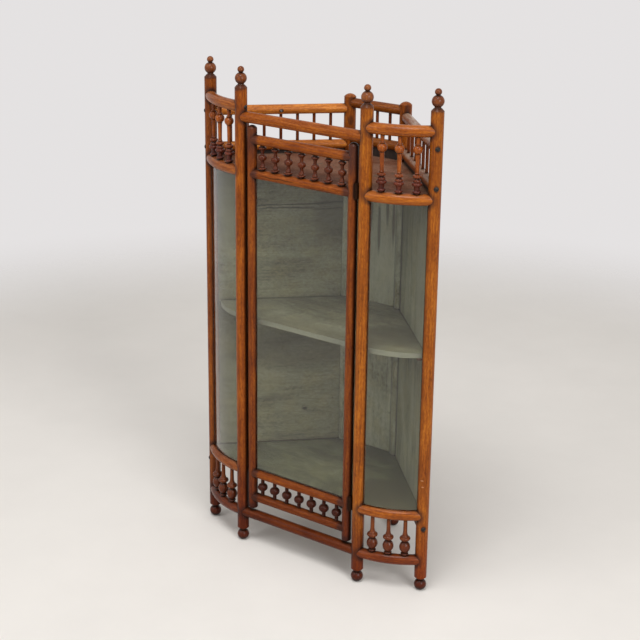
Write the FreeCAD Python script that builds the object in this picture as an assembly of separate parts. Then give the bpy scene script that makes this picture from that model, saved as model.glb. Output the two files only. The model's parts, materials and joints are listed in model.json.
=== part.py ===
import FreeCAD, Part
import math
import os

# Corner wall cabinet of turned sticks, with bent glass sides and one glazed door.
# Millimetres, Z up, X to the right and Y to the back. The origin is on the floor,
# in the middle of the width and of the depth.

# Plan of the six round posts
door_opening = 269.2
bend_radius = 153.5
bend_sweep = 45.0
wall_run = 256.8
post_radius = 11.1

# Posts
overall_height = 914.0
back_post_rise = 11.2
back_post_dome = 5.3
post_crown_inset = 3.8
post_crown_height = 4.2
post_chamfer = 2.0

# Turned finials and feet
finial_neck_length = 2.86
finial_neck_radius = 5.7
finial_flare_radius = 6.9
finial_ball_radius = 10.6
tip_neck_length = 0.22
tip_neck_radius = 3.4
tip_ball_radius = 6.0
foot_flat_radius = 3.5
foot_ball_radius = 11.2
foot_neck_radius = 5.2
foot_neck_length = 3.44

# Rails of the case, placed by their axes: down from the post tops, up from the feet,
# and the others from the rail, board or screw next to them
bent_rail_radius = 9.9
side_top_drop = 37.8
side_gallery_drop = 115.2
side_bottom_rise = 36.0
side_sill_rise = 88.5
front_rail_radius = 9.8
front_top_gap = 3.0
front_bottom_rise = 36.5
wall_rail_radius = 9.0
wall_top_drop = 28.0
wall_gallery_rise = 14.3
wall_bottom_drop = 23.5
back_rail_rise = 10.8

# Panels, boards and glass
panel_thickness = 6.0
groove_depth = 3.0
roof_rise = 6.0
bottom_rise = 5.5
shelf_height_share = 0.514
board_thickness = 9.5
shelf_setback = 14.5
cleat_size = 10.0
cleat_length_share = 0.84
glass_thickness = 2.4

# Door: its stiles between the front rails, and its rails from the ends of the stiles
stile_radius = 8.75
stile_dome = 5.5
door_side_gap = 5.35
door_top_gap = 2.3
door_bottom_gap = 4.9
door_back_gap = 0.6
door_rail_radius = 8.75
door_top_drop = 19.8
door_upper_drop = 61.3
door_bottom_rise = 23.2
door_lower_rise = 49.7

# Spindles: the widest radius of each pattern
gallery_spindle_radius = 9.0
base_spindle_radius = 10.0
bobbin_radius = 7.6
door_ball_radius = 9.3
door_ball_height = 14.2
door_pin_radius = 3.5
plain_spindle_radius = 2.9
side_spindle_count = 3
door_spindle_count = 7
wall_spindle_count = 7
back_spindle_count = 3
wall_pitch_share = 0.1313
back_pitch_share = 0.2785

# Hanging holes in the wall top rails
hanging_hole_radius = 2.2
hanging_hole_drop = 1.4

# Dome-headed screws of the posts
screw_head_radius = 4.4
screw_head_height = 2.4
screw_head_sink = 0.8
screw_shank_radius = 1.9
screw_length = 34.0

# Hinges
hinge_height = 25.4
hinge_rise = 5.5
hinge_forward = 7.0
leaf_sink = 0.525
barrel_radius = 3.2
pin_radius = 1.3
pin_head_radius = 2.2
pin_head_height = 1.2
leaf_thickness = 1.4
leaf_reach = 10.0
leaf_screw_spread = 14.0
leaf_screw_radius = 1.1
leaf_screw_head_radius = 2.1
leaf_screw_length = 9.0
knuckle_count = 3

# Catch
stud_radius = 1.2
stud_head_radius = 2.5
stud_inset = 4.6
stud_reach = 4.65
stud_hold = 6.0
clip_width = 8.0
clip_thickness = 1.0
clip_setback = 1.25
clip_length = 9.4

# Clearances
joint_gap = 0.1
pin_gap = 0.05
knuckle_gap = 0.3
catch_gap = 0.3
overrun = 5.0

# Shapes of the turned pieces. Each step is height, radius and the radius half-way up the step
# (none where the step is straight), as shares of the length and of the widest radius.
gallery_spindle_shares = [
    (0.0, 0.58, None), (0.012, 0.62, None), (0.058, 0.62, 0.78), (0.07, 0.5, None),
    (0.125, 0.56, 0.52), (0.14, 0.66, None), (0.15, 0.86, None), (0.202, 0.86, 1.0),
    (0.212, 0.7, None), (0.262, 0.56, 0.72), (0.275, 0.46, None), (0.288, 0.64, None),
    (0.338, 0.64, 0.82), (0.35, 0.42, None), (0.362, 0.48, None), (0.376, 0.38, None),
    (0.695, 0.44, 0.4), (0.71, 0.44, 0.52), (0.862, 0.4, 0.93), (0.88, 0.4, 0.54),
    (0.9, 0.36, None), (1.0, 0.42, None)]
base_spindle_shares = [
    (0.0, 0.5, None), (0.012, 0.5, None), (0.02, 0.66, None), (0.058, 0.66, 0.72),
    (0.078, 0.48, None), (0.15, 0.86, 0.71), (0.315, 0.86, 1.0), (0.39, 0.48, 0.71),
    (0.412, 0.54, None), (0.43, 0.68, None), (0.535, 0.7, 0.98), (0.6, 0.46, 0.54),
    (0.66, 0.38, None), (1.0, 0.35, None)]
bobbin_shares = [
    (0.0, 0.6, None), (0.02, 0.62, None), (0.03, 0.82, None), (0.12, 0.82, 1.0),
    (0.134, 0.62, None), (0.15, 0.68, None), (0.22, 0.5, 0.56), (0.38, 0.42, 0.4),
    (0.395, 0.5, None), (0.64, 0.5, 0.98), (0.655, 0.42, None), (0.78, 0.44, 0.38),
    (0.838, 0.64, None), (0.85, 0.56, None), (0.862, 0.8, None), (0.95, 0.8, 0.93),
    (0.965, 0.55, None), (1.0, 0.52, None)]

V = FreeCAD.Vector
UP = V(0, 0, 1)
RIGHT = V(1, 0, 0)
BACKWARD = V(0, 1, 0)


def ring_reach(ball, ring):
    """Distance from the middle of a ball to where it narrows to a ring."""
    return math.sqrt(ball ** 2 - ring ** 2)


# Heights worked out from the posts: the feet and finials, the rails, then what they carry
foot_ball_height = ring_reach(foot_ball_radius, foot_flat_radius)
foot_height = foot_ball_height + ring_reach(foot_ball_radius, foot_neck_radius) + foot_neck_length
tip_ball_height = overall_height - tip_ball_radius
tip_neck_top = tip_ball_height - ring_reach(tip_ball_radius, tip_neck_radius)
tip_neck_bottom = tip_neck_top - tip_neck_length
finial_ball_height = tip_neck_bottom - ring_reach(finial_ball_radius, tip_neck_radius)
finial_neck_top = finial_ball_height - ring_reach(finial_ball_radius, finial_neck_radius)
tall_post_top = finial_neck_top - finial_neck_length
side_top_height = tall_post_top - side_top_drop
side_gallery_height = side_top_height - side_gallery_drop
side_bottom_height = foot_height + side_bottom_rise
side_sill_height = side_bottom_height + side_sill_rise
front_top_height = side_top_height - screw_head_radius - front_top_gap - front_rail_radius
front_bottom_height = foot_height + front_bottom_rise
roof_top = side_gallery_height + roof_rise
bottom_top = side_sill_height + bottom_rise
shelf_top = bottom_top + (roof_top - bottom_top) * shelf_height_share
wall_top_height = side_top_height - wall_top_drop
wall_gallery_height = roof_top + wall_gallery_rise
wall_bottom_height = side_sill_height - wall_bottom_drop
back_post_shoulder = wall_top_height + back_rail_rise + back_post_rise
stile_bottom = front_bottom_height + front_rail_radius + door_bottom_gap
stile_shoulder = front_top_height - front_rail_radius - door_top_gap - stile_dome
door_top_height = stile_shoulder - door_top_drop
door_upper_height = door_top_height - door_upper_drop
door_bottom_height = stile_bottom + door_bottom_rise
door_lower_height = door_bottom_height + door_lower_rise

# Places worked out from the plan
half_opening = door_opening / 2
sweep = math.radians(bend_sweep)
plan_depth = bend_radius * (1 - math.cos(sweep)) + wall_run * math.cos(sweep)
front_y = -plan_depth / 2
bend_centre = V(half_opening, front_y + bend_radius, 0)
front_post = V(half_opening, front_y, 0)
side_post = bend_centre + V(math.sin(sweep), -math.cos(sweep), 0) * bend_radius
wall_way = V(-math.sin(sweep), math.cos(sweep), 0)
wall_outward = V(math.cos(sweep), math.sin(sweep), 0)
back_post = side_post + wall_way * wall_run
stile_x = half_opening - post_radius - door_side_gap - stile_radius
stile_place = V(stile_x, front_y, 0)
hinge_x = (stile_x + stile_radius + half_opening - post_radius) / 2
hinge_place = V(hinge_x, front_y - hinge_forward, 0)
hinge_heights = [door_lower_height + hinge_rise, door_upper_height + hinge_rise]
leaf_face = door_side_gap / 2 + leaf_sink
board_front = max(stile_radius, door_rail_radius) + door_back_gap
panel_reach = post_radius - groove_depth


# Small helpers

def mirrored(shape):
    """The same piece on the left side."""
    return shape.mirror(V(0, 0, 0), RIGHT)


def flipped(place):
    return V(-place.x, place.y, place.z)


def moved(shape, place):
    copy = shape.copy()
    copy.translate(place)
    return copy


def raised(place, height):
    return V(place.x, place.y, height)


def stick(start, end, radius):
    """Round stick from one point to another."""
    way = end - start
    return Part.makeCylinder(radius, way.Length, start, way)


def plank(start, way, length, outward, out_from, out_to, low, high):
    """Flat board whose length runs along way, between two offsets to one side."""
    corners = [start + outward * out_from, start + outward * out_to]
    corners = [raised(c, low) for c in corners]
    far = [c + way * length for c in reversed(corners)]
    ring = Part.makePolygon(corners + far + corners[:1])
    return Part.Face(ring).extrude(UP * (high - low))


def lathe(points):
    """Solid turned about the Z axis. A point is radius, height and radius half-way up, or None."""
    edges = []
    last = V(0, 0, points[0][1])
    for radius, height, middle in points:
        spot = V(radius, 0, height)
        if middle is None:
            edges.append(Part.makeLine(last, spot))
        else:
            bow = V(middle, 0, (last.z + height) / 2)
            edges.append(Part.Arc(last, bow, spot).toShape())
        last = spot
    if last.x > 0:
        edges.append(Part.makeLine(last, V(0, 0, last.z)))
    edges.append(Part.makeLine(V(0, 0, last.z), V(0, 0, points[0][1])))
    return Part.Face(Part.Wire(edges)).revolve(V(0, 0, 0), UP, 360)


def turned(shares, length, radius):
    """Turned spindle from its shares."""
    return lathe([(r * radius, z * length, None if m is None else m * radius)
                  for z, r, m in shares])


def cut_all(shape, tools):
    return shape.cut(Part.makeCompound(list(tools)))


# Posts, finials and feet

def tall_post(place):
    """Front or side post, chamfered at the foot and coned at the top."""
    post = lathe([(post_radius - post_chamfer, foot_height, None),
                  (post_radius, foot_height + post_chamfer, None),
                  (post_radius, tall_post_top - post_crown_height, None),
                  (post_radius - post_crown_inset, tall_post_top, None)])
    return moved(post, place)


def domed_stick(radius, start, shoulder, dome, chamfer):
    """Stick with a domed top and a chamfered foot."""
    ball = (radius ** 2 + dome ** 2) / (2 * dome)
    middle = math.sqrt(ball * dome - dome ** 2 / 4)
    return lathe([(radius - chamfer, start, None), (radius, start + chamfer, None),
                  (radius, shoulder, None), (0, shoulder + dome, middle)])


def post_blank(place):
    """Space that a post takes, with its joint gap, for fitting what meets it."""
    return Part.makeCylinder(post_radius + joint_gap, overall_height, place, UP)


def finial(place):
    """Large ball with a small ball on it."""
    turning = lathe([
        (finial_flare_radius, tall_post_top, None),
        (finial_neck_radius, finial_neck_top, finial_neck_radius),
        (finial_ball_radius, finial_ball_height,
         ball_middle(finial_ball_radius, finial_neck_radius)),
        (tip_neck_radius, tip_neck_bottom, ball_middle(finial_ball_radius, tip_neck_radius)),
        (tip_neck_radius, tip_neck_top, None),
        (tip_ball_radius, tip_ball_height, ball_middle(tip_ball_radius, tip_neck_radius)),
        (0, overall_height, ball_middle(tip_ball_radius, 0))])
    return moved(turning, place)


def ball_middle(ball, ring):
    """Radius of a ball half-way between its middle and the height where it narrows to a ring."""
    return ring_reach(ball, ring_reach(ball, ring) / 2)


def foot(place):
    """Ball foot with a small flat to stand on."""
    turning = lathe([
        (foot_flat_radius, 0, None),
        (foot_ball_radius, foot_ball_height, ball_middle(foot_ball_radius, foot_flat_radius)),
        (foot_neck_radius, foot_height - foot_neck_length,
         ball_middle(foot_ball_radius, foot_neck_radius)),
        (foot_neck_radius, foot_height, None)])
    return moved(turning, place)


# Rails of the case

def bent_rail(height):
    """Round rail along the bent side, before it is fitted."""
    ring = Part.Wire(Part.makeCircle(bent_rail_radius, raised(front_post, height), RIGHT))
    return Part.Face(ring).revolve(bend_centre, UP, bend_sweep)


def wall_rail(height):
    return stick(raised(side_post, height), raised(back_post, height), wall_rail_radius)


def back_rail(height):
    return stick(raised(flipped(back_post), height), raised(back_post, height), wall_rail_radius)


def front_rail(height):
    return stick(raised(flipped(front_post), height), raised(front_post, height),
                 front_rail_radius)


# Panels, boards, cleats and glass

def wall_panel(grow):
    """Right wall panel, let into the posts and rails by the depth of a groove."""
    low = wall_bottom_height + wall_rail_radius - groove_depth - grow
    high = wall_gallery_height - wall_rail_radius + groove_depth + grow
    half = panel_thickness / 2 + grow
    reach = panel_reach - grow
    start = side_post + wall_way * reach
    return plank(start, wall_way, wall_run - 2 * reach, wall_outward, -half, half, low, high)


def back_panel(grow):
    """Panel across the chamfered back."""
    low = wall_bottom_height + wall_rail_radius - groove_depth - grow
    high = wall_gallery_height + back_rail_rise - wall_rail_radius + groove_depth + grow
    half = panel_thickness / 2 + grow
    reach = panel_reach - grow
    start = flipped(back_post) + RIGHT * reach
    return plank(start, RIGHT, 2 * (back_post.x - reach), BACKWARD, -half, half, low, high)


def board_face(front, side, height):
    """Outline of a board: straight front, curved sides, then the lines of the walls."""
    radius = bend_radius - side
    lip = V(half_opening, front_y + front, height)
    entry = bend_centre + V(0, -radius, height)
    middle = bend_centre + V(math.sin(sweep / 2), -math.cos(sweep / 2), 0) * radius + UP * height
    end = bend_centre + V(math.sin(sweep), -math.cos(sweep), 0) * radius + UP * height
    corner = raised(back_post, height)
    edges = [Part.makeLine(flipped(lip), lip)]
    if side != front:
        edges.append(Part.makeLine(lip, entry))
    edges.append(Part.Arc(entry, middle, end).toShape())
    edges.append(Part.makeLine(end, corner))
    edges.append(Part.makeLine(corner, flipped(corner)))
    edges.append(Part.makeLine(flipped(corner), flipped(end)))
    edges.append(Part.Arc(flipped(end), flipped(middle), flipped(entry)).toShape())
    if side != front:
        edges.append(Part.makeLine(flipped(entry), flipped(lip)))
    return Part.Face(Part.Wire(edges))


def board(top, front, side, grow):
    """Board before it is notched round the posts."""
    face = board_face(front, side - grow, top - board_thickness - grow)
    return face.extrude(UP * (board_thickness + 2 * grow))


def cleat(start, way, run, outward, high):
    """Strip on the inner face of a panel, shorter than the clear run between two posts."""
    length = (run - 2 * post_radius) * cleat_length_share
    inner = -panel_thickness / 2
    return plank(start + way * ((run - length) / 2), way, length, outward,
                 inner - cleat_size, inner, high - cleat_size, high)


def cleats(board_top):
    """Strips under a board, along both walls and the back."""
    high = board_top - board_thickness
    wall = cleat(side_post, wall_way, wall_run, wall_outward, high)
    back = cleat(flipped(back_post), RIGHT, 2 * back_post.x, BACKWARD, high)
    return [wall, mirrored(wall), back]


def side_glass(grow):
    """Bent pane between the sill rail and the gallery rail."""
    low = side_sill_height + bent_rail_radius - groove_depth - grow
    high = side_gallery_height - bent_rail_radius + groove_depth + grow
    half = glass_thickness / 2 + grow
    turn = math.degrees((panel_reach - grow) / bend_radius)
    ring = Part.makePolygon([
        V(half_opening, front_y - half, low), V(half_opening, front_y + half, low),
        V(half_opening, front_y + half, high), V(half_opening, front_y - half, high),
        V(half_opening, front_y - half, low)])
    face = Part.Face(ring)
    face.rotate(bend_centre, UP, turn)
    return face.revolve(bend_centre, UP, bend_sweep - 2 * turn)


# Door

def door_rail(height):
    left = raised(flipped(stile_place), height)
    return stick(left, raised(stile_place, height), door_rail_radius)


def stile_blank(place):
    return Part.makeCylinder(stile_radius + joint_gap, overall_height, place, UP)


def door_glass(grow):
    """Flat pane in the grooves of the door."""
    low = door_lower_height + door_rail_radius - groove_depth - grow
    high = door_upper_height - door_rail_radius + groove_depth + grow
    half = glass_thickness / 2 + grow
    reach = stile_radius - groove_depth - grow
    start = flipped(stile_place) + RIGHT * reach
    return plank(start, RIGHT, 2 * (stile_x - reach), BACKWARD, -half, half, low, high)


# Spindles

def bend_places(count):
    """Even places along the bend, between the two posts."""
    turns = [sweep * (i + 1) / (count + 1) for i in range(count)]
    return [bend_centre + V(math.sin(t), -math.cos(t), 0) * bend_radius for t in turns]


def row_places(middle, way, pitch, count):
    return [middle + way * (pitch * (i - (count - 1) / 2)) for i in range(count)]


def gallery_spindle():
    low = side_gallery_height + bent_rail_radius + joint_gap
    high = side_top_height - bent_rail_radius - joint_gap
    return moved(turned(gallery_spindle_shares, high - low, gallery_spindle_radius), UP * low)


def base_spindle():
    low = side_bottom_height + bent_rail_radius + joint_gap
    high = side_sill_height - bent_rail_radius - joint_gap
    return moved(turned(base_spindle_shares, high - low, base_spindle_radius), UP * low)


def bobbin():
    low = door_upper_height + door_rail_radius + joint_gap
    high = door_top_height - door_rail_radius - joint_gap
    return moved(turned(bobbin_shares, high - low, bobbin_radius), UP * low)


def door_ball():
    """Ball on a pin, flattened a little."""
    low = door_bottom_height + door_rail_radius + joint_gap
    high = door_lower_height - door_rail_radius - joint_gap
    middle = (low + high) / 2
    half = door_ball_height / 2
    return lathe([(door_pin_radius, low, None), (door_pin_radius, middle - half, None),
                  (door_pin_radius, middle + half, door_ball_radius),
                  (door_pin_radius, high, None)])


def plain_spindle(low_rail, high_rail):
    low = low_rail + wall_rail_radius + joint_gap
    high = high_rail - wall_rail_radius - joint_gap
    return Part.makeCylinder(plain_spindle_radius, high - low, UP * low, UP)


# Screws

def dome_screw(place, way):
    """Screw driven along way, with its dome head sunk a little in the post."""
    start = place - way * (post_radius - screw_head_sink)
    ball = (screw_head_radius ** 2 + screw_head_height ** 2) / (2 * screw_head_height)
    cap = math.sqrt(ball * screw_head_height - screw_head_height ** 2 / 4)
    solid = lathe([(screw_shank_radius, -screw_length, None), (screw_shank_radius, 0, None),
                   (screw_head_radius, 0, None), (0, screw_head_height, cap)])
    solid.Placement = FreeCAD.Placement(start, FreeCAD.Rotation(UP, -way))
    return solid


def post_screws():
    """Screws seen on the posts: wall rails at the side posts, bent top rail at the front post."""
    heights = [wall_top_height, wall_gallery_height, wall_bottom_height]
    right = [dome_screw(raised(side_post, z), wall_way) for z in heights]
    right.append(dome_screw(raised(front_post, side_top_height), RIGHT))
    return right + [mirrored(s) for s in right]


# Hinges

def knuckle(height, index, grow):
    """One knuckle of the barrel, counted from the bottom."""
    pitch = hinge_height / knuckle_count
    low = height - hinge_height / 2 + pitch * index + knuckle_gap / 2 - grow
    return Part.makeCylinder(barrel_radius + grow, pitch - knuckle_gap + 2 * grow,
                             raised(hinge_place, low), UP)


def leaf_plate(height, side):
    """Plate of a leaf. side is 1 on the post and -1 on the stile."""
    start = hinge_place + RIGHT * (side * leaf_face)
    return plank(start, BACKWARD, leaf_reach, RIGHT * side, -leaf_thickness, 0,
                 height - hinge_height / 2 + knuckle_gap / 2,
                 height + hinge_height / 2 - knuckle_gap / 2)


def leaf(height, side, own):
    """Plate with its own knuckles, cleared for the others and bored for the pin."""
    shape = leaf_plate(height, side)
    others = [i for i in range(knuckle_count) if i not in own]
    shape = cut_all(shape, [knuckle(height, i, knuckle_gap) for i in others])
    shape = shape.fuse([knuckle(height, i, 0) for i in own])
    bore = Part.makeCylinder(pin_radius + pin_gap, hinge_height + 2 * overrun,
                             raised(hinge_place, height - hinge_height / 2 - overrun), UP)
    shape = cut_all(shape, [bore] + leaf_screws(height, side))
    return shape.removeSplitter()


def leaf_screws(height, side):
    """Two countersunk screws, flush with the face of the leaf."""
    face_x = hinge_x + side * (leaf_face - leaf_thickness)
    solids = []
    for step in (-leaf_screw_spread / 2, leaf_screw_spread / 2):
        solid = lathe([(leaf_screw_radius, -leaf_screw_length, None),
                       (leaf_screw_radius, leaf_screw_radius - leaf_screw_head_radius, None),
                       (leaf_screw_head_radius, 0, None)])
        spin = FreeCAD.Rotation(UP, RIGHT * -side)
        solid.Placement = FreeCAD.Placement(V(face_x, front_y, height + step), spin)
        solids.append(solid)
    return solids


def mortise(height, side):
    """Flat that lets a leaf into its post or stile."""
    start = hinge_place + RIGHT * (side * leaf_face)
    return plank(start, BACKWARD, leaf_reach, RIGHT * side, -leaf_thickness, 0,
                 height - hinge_height / 2, height + hinge_height / 2)


def hinge_pin(height):
    """Pin with a small head at each end."""
    low = height - hinge_height / 2
    high = height + hinge_height / 2
    turning = lathe([
        (pin_head_radius, low - pin_head_height, None), (pin_head_radius, low, None),
        (pin_radius, low, None), (pin_radius, high, None), (pin_head_radius, high, None),
        (pin_head_radius, high + pin_head_height, None)])
    return moved(turning, hinge_place)


# Catch

clip_inner = stud_head_radius + catch_gap
clip_outer = clip_inner + clip_thickness
catch_height = bottom_top - board_thickness - clip_outer
catch_x = -(stile_x + stud_inset)
clip_mouth = board_front + clip_setback
clip_back = clip_mouth + clip_length


def slot_bar(radius, width, mouth):
    """Bar with a round end, lying along Y behind the door."""
    centre = V(catch_x - width / 2, front_y + clip_back, catch_height)
    length = clip_back - mouth
    bar = Part.makeBox(width, length, 2 * radius, centre - BACKWARD * length - UP * radius)
    return bar.fuse(Part.makeCylinder(radius, width, centre, RIGHT)).removeSplitter()


def catch_clip():
    """Spring strip bent to a U, open towards the door, under the bottom board."""
    outer = slot_bar(clip_outer, clip_width, clip_mouth)
    return outer.cut(slot_bar(clip_inner, clip_width + 2 * overrun, clip_mouth - overrun))


def catch_stud():
    """Ball-headed stud in the back of the left stile."""
    hold = ring_reach(stile_radius, stud_inset) - stud_hold
    middle = board_front + stud_reach
    neck_end = middle - ring_reach(stud_head_radius, stud_radius)
    turning = lathe([(stud_radius, hold, None), (stud_radius, neck_end, None),
                     (stud_head_radius, middle, ball_middle(stud_head_radius, stud_radius)),
                     (0, middle + stud_head_radius, ball_middle(stud_head_radius, 0))])
    turning.Placement = FreeCAD.Placement(V(catch_x, front_y, catch_height),
                                          FreeCAD.Rotation(UP, BACKWARD))
    return turning


# Fitting the pieces together

def fitted_rails(screws):
    """Every rail of the case, coped to the posts, grooved and bored."""
    right_blanks = [post_blank(p) for p in (front_post, side_post, back_post)]
    blanks = right_blanks + [mirrored(b) for b in right_blanks]
    panel = wall_panel(0)
    rails = {}
    grooves = {"side_gallery": [side_glass(joint_gap), roof_blank(joint_gap)],
               "side_sill": [side_glass(joint_gap), bottom_blank(joint_gap)],
               "wall_gallery": [panel], "wall_bottom": [panel], "wall_top": [hanging_bore()],
               "side_top": [], "side_bottom": []}
    heights = {"side_top": side_top_height, "side_gallery": side_gallery_height,
               "side_sill": side_sill_height, "side_bottom": side_bottom_height,
               "wall_top": wall_top_height, "wall_gallery": wall_gallery_height,
               "wall_bottom": wall_bottom_height}
    for name, height in heights.items():
        wall = name.startswith("wall")
        rail = wall_rail(height) if wall else bent_rail(height)
        rail = cut_all(rail, right_blanks + grooves[name] + screws)
        rails[name + "_rail_right"] = rail
        rails[name + "_rail_left"] = mirrored(rail)
    rise = back_rail_rise
    rails["back_top_rail"] = cut_all(back_rail(wall_top_height + rise), blanks)
    rails["back_gallery_rail"] = cut_all(back_rail(wall_gallery_height + rise),
                                         blanks + [back_panel(0)])
    rails["back_bottom_rail"] = cut_all(back_rail(wall_bottom_height), blanks + [back_panel(0)])
    rails["front_top_rail"] = cut_all(front_rail(front_top_height), blanks)
    rails["front_bottom_rail"] = cut_all(front_rail(front_bottom_height), blanks)
    return rails


def hanging_bore():
    """Hole through the wall top rail, square to the wall and a little below its middle."""
    middle = raised((side_post + back_post) / 2, wall_top_height - hanging_hole_drop)
    reach = wall_outward * (wall_rail_radius + overrun)
    return stick(middle - reach, middle + reach, hanging_hole_radius)


def roof_blank(grow):
    return board(roof_top, board_front, bent_rail_radius - groove_depth, grow)


def bottom_blank(grow):
    return board(bottom_top, board_front, bent_rail_radius - groove_depth, grow)


def fitted_posts(screws):
    """Posts with their grooves, screw holes and hinge mortises."""
    glass = side_glass(joint_gap)
    side = cut_all(tall_post(side_post), [glass, wall_panel(0)] + screws)
    front = cut_all(tall_post(front_post), [glass] + screws)
    back = domed_stick(post_radius, foot_height, back_post_shoulder, back_post_dome, post_chamfer)
    back = cut_all(moved(back, back_post), [wall_panel(0), back_panel(0)])
    hinged = front
    for height in hinge_heights:
        hinged = cut_all(hinged, [mortise(height, 1)] + leaf_screws(height, 1))
    return {"side_post_right": side, "side_post_left": mirrored(side),
            "front_post_right": hinged, "front_post_left": mirrored(front),
            "back_post_right": back, "back_post_left": mirrored(back)}


def fitted_boards():
    """Roof, shelf and bottom, notched round the posts and between the panels."""
    blanks = [post_blank(p) for p in (front_post, side_post, back_post)]
    panels = [wall_panel(0)]
    tools = blanks + panels
    tools = tools + [mirrored(t) for t in tools] + [back_panel(0)]
    shelf = board(shelf_top, shelf_setback, shelf_setback, 0)
    return {"roof_board": cut_all(roof_blank(0), tools), "shelf": cut_all(shelf, tools),
            "bottom_board": cut_all(bottom_blank(0), tools)}


def wall_spindles():
    """Plain spindles of the two wall galleries, and those of the back gallery."""
    middle = (side_post + back_post) / 2
    spindle = plain_spindle(wall_gallery_height, wall_top_height)
    wall_pitch = (wall_run - 2 * post_radius) * wall_pitch_share
    right = [moved(spindle, p)
             for p in row_places(middle, wall_way, wall_pitch, wall_spindle_count)]
    back = plain_spindle(wall_gallery_height + back_rail_rise, wall_top_height + back_rail_rise)
    back_pitch = 2 * (back_post.x - post_radius) * back_pitch_share
    row = row_places(V(0, back_post.y, 0), RIGHT, back_pitch, back_spindle_count)
    return {"wall_spindles": right + [mirrored(s) for s in right],
            "back_spindles": [moved(back, p) for p in row]}


def side_spindles():
    """Turned spindles above and below the bent glass."""
    places = bend_places(side_spindle_count)
    upper = [moved(gallery_spindle(), p) for p in places]
    lower = [moved(base_spindle(), p) for p in places]
    return {"gallery_spindles_right": upper, "gallery_spindles_left": [mirrored(s) for s in upper],
            "base_spindles_right": lower, "base_spindles_left": [mirrored(s) for s in lower]}


def door_pieces():
    """Stiles, rails, glass and spindles of the door."""
    glass = door_glass(0)
    stile = domed_stick(stile_radius, stile_bottom, stile_shoulder, stile_dome, post_chamfer)
    right = moved(stile, stile_place).cut(glass)
    for height in hinge_heights:
        right = cut_all(right, [mortise(height, -1)] + leaf_screws(height, -1))
    left = moved(stile, flipped(stile_place))
    left = cut_all(left, [glass, catch_stud()])
    blanks = [stile_blank(stile_place), stile_blank(flipped(stile_place))]
    pieces = {"door_stile_right": right, "door_stile_left": left, "door_glass": glass}
    for name, height in (("top", door_top_height), ("upper", door_upper_height),
                         ("lower", door_lower_height), ("bottom", door_bottom_height)):
        pieces["door_" + name + "_rail"] = cut_all(door_rail(height), blanks + [glass])
    pitch = 2 * (stile_x - stile_radius) / door_spindle_count
    row = row_places(V(0, front_y, 0), RIGHT, pitch, door_spindle_count)
    pieces["door_bobbins"] = [moved(bobbin(), p) for p in row]
    pieces["door_balls"] = [moved(door_ball(), p) for p in row]
    return pieces


def hinge_pieces():
    """Leaves, pins and screws of the two hinges."""
    post_knuckles = list(range(0, knuckle_count, 2))
    stile_knuckles = list(range(1, knuckle_count, 2))
    pieces = {"hinge_post_leaves": [leaf(z, 1, post_knuckles) for z in hinge_heights],
              "hinge_stile_leaves": [leaf(z, -1, stile_knuckles) for z in hinge_heights],
              "hinge_pins": [hinge_pin(z) for z in hinge_heights],
              "hinge_post_screws": [], "hinge_stile_screws": []}
    for height in hinge_heights:
        pieces["hinge_post_screws"] += leaf_screws(height, 1)
        pieces["hinge_stile_screws"] += leaf_screws(height, -1)
    return pieces


def all_pieces():
    """Every node of the cabinet by name: one solid, or a list of separate ones."""
    screws = post_screws()
    right = [front_post, side_post, back_post]
    posts = right + [flipped(p) for p in right]
    pieces = {}
    pieces.update(fitted_posts(screws))
    pieces.update(fitted_rails(screws[:len(screws) // 2]))
    pieces.update(fitted_boards())
    pieces.update(wall_spindles())
    pieces.update(side_spindles())
    pieces.update(door_pieces())
    pieces.update(hinge_pieces())
    tall = [p for p in posts if p.y < back_post.y]
    pieces["post_finials"] = [finial(p) for p in tall]
    pieces["ball_feet"] = [foot(p) for p in posts]
    pieces["wall_panel_right"] = wall_panel(0)
    pieces["wall_panel_left"] = mirrored(wall_panel(0))
    pieces["back_panel"] = back_panel(0)
    pieces["side_glass_right"] = side_glass(0)
    pieces["side_glass_left"] = mirrored(side_glass(0))
    pieces["board_cleats"] = cleats(roof_top) + cleats(shelf_top) + cleats(bottom_top)
    pieces["post_screws"] = screws
    pieces["catch_clip"] = catch_clip()
    pieces["catch_stud"] = catch_stud()
    return pieces


os.makedirs("parts", exist_ok=True)
for name, piece in all_pieces().items():
    if isinstance(piece, list):
        piece = Part.makeCompound(piece)
    piece.exportStep("parts/" + name + ".step")
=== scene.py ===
"""Looks of a corner wall cabinet made of turned oak sticks.

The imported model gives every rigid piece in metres, Z up, with the origin on the floor in the
middle of the width and of the depth. This script finishes those pieces, makes finer heads for
the screws, and sets up the floor, the light and the camera.
"""

import json
import logging
import math
from dataclasses import dataclass
from enum import Enum
from typing import Any, Iterable, Optional, Sequence

import bmesh
import bpy
from mathutils import Matrix, Vector

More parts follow.
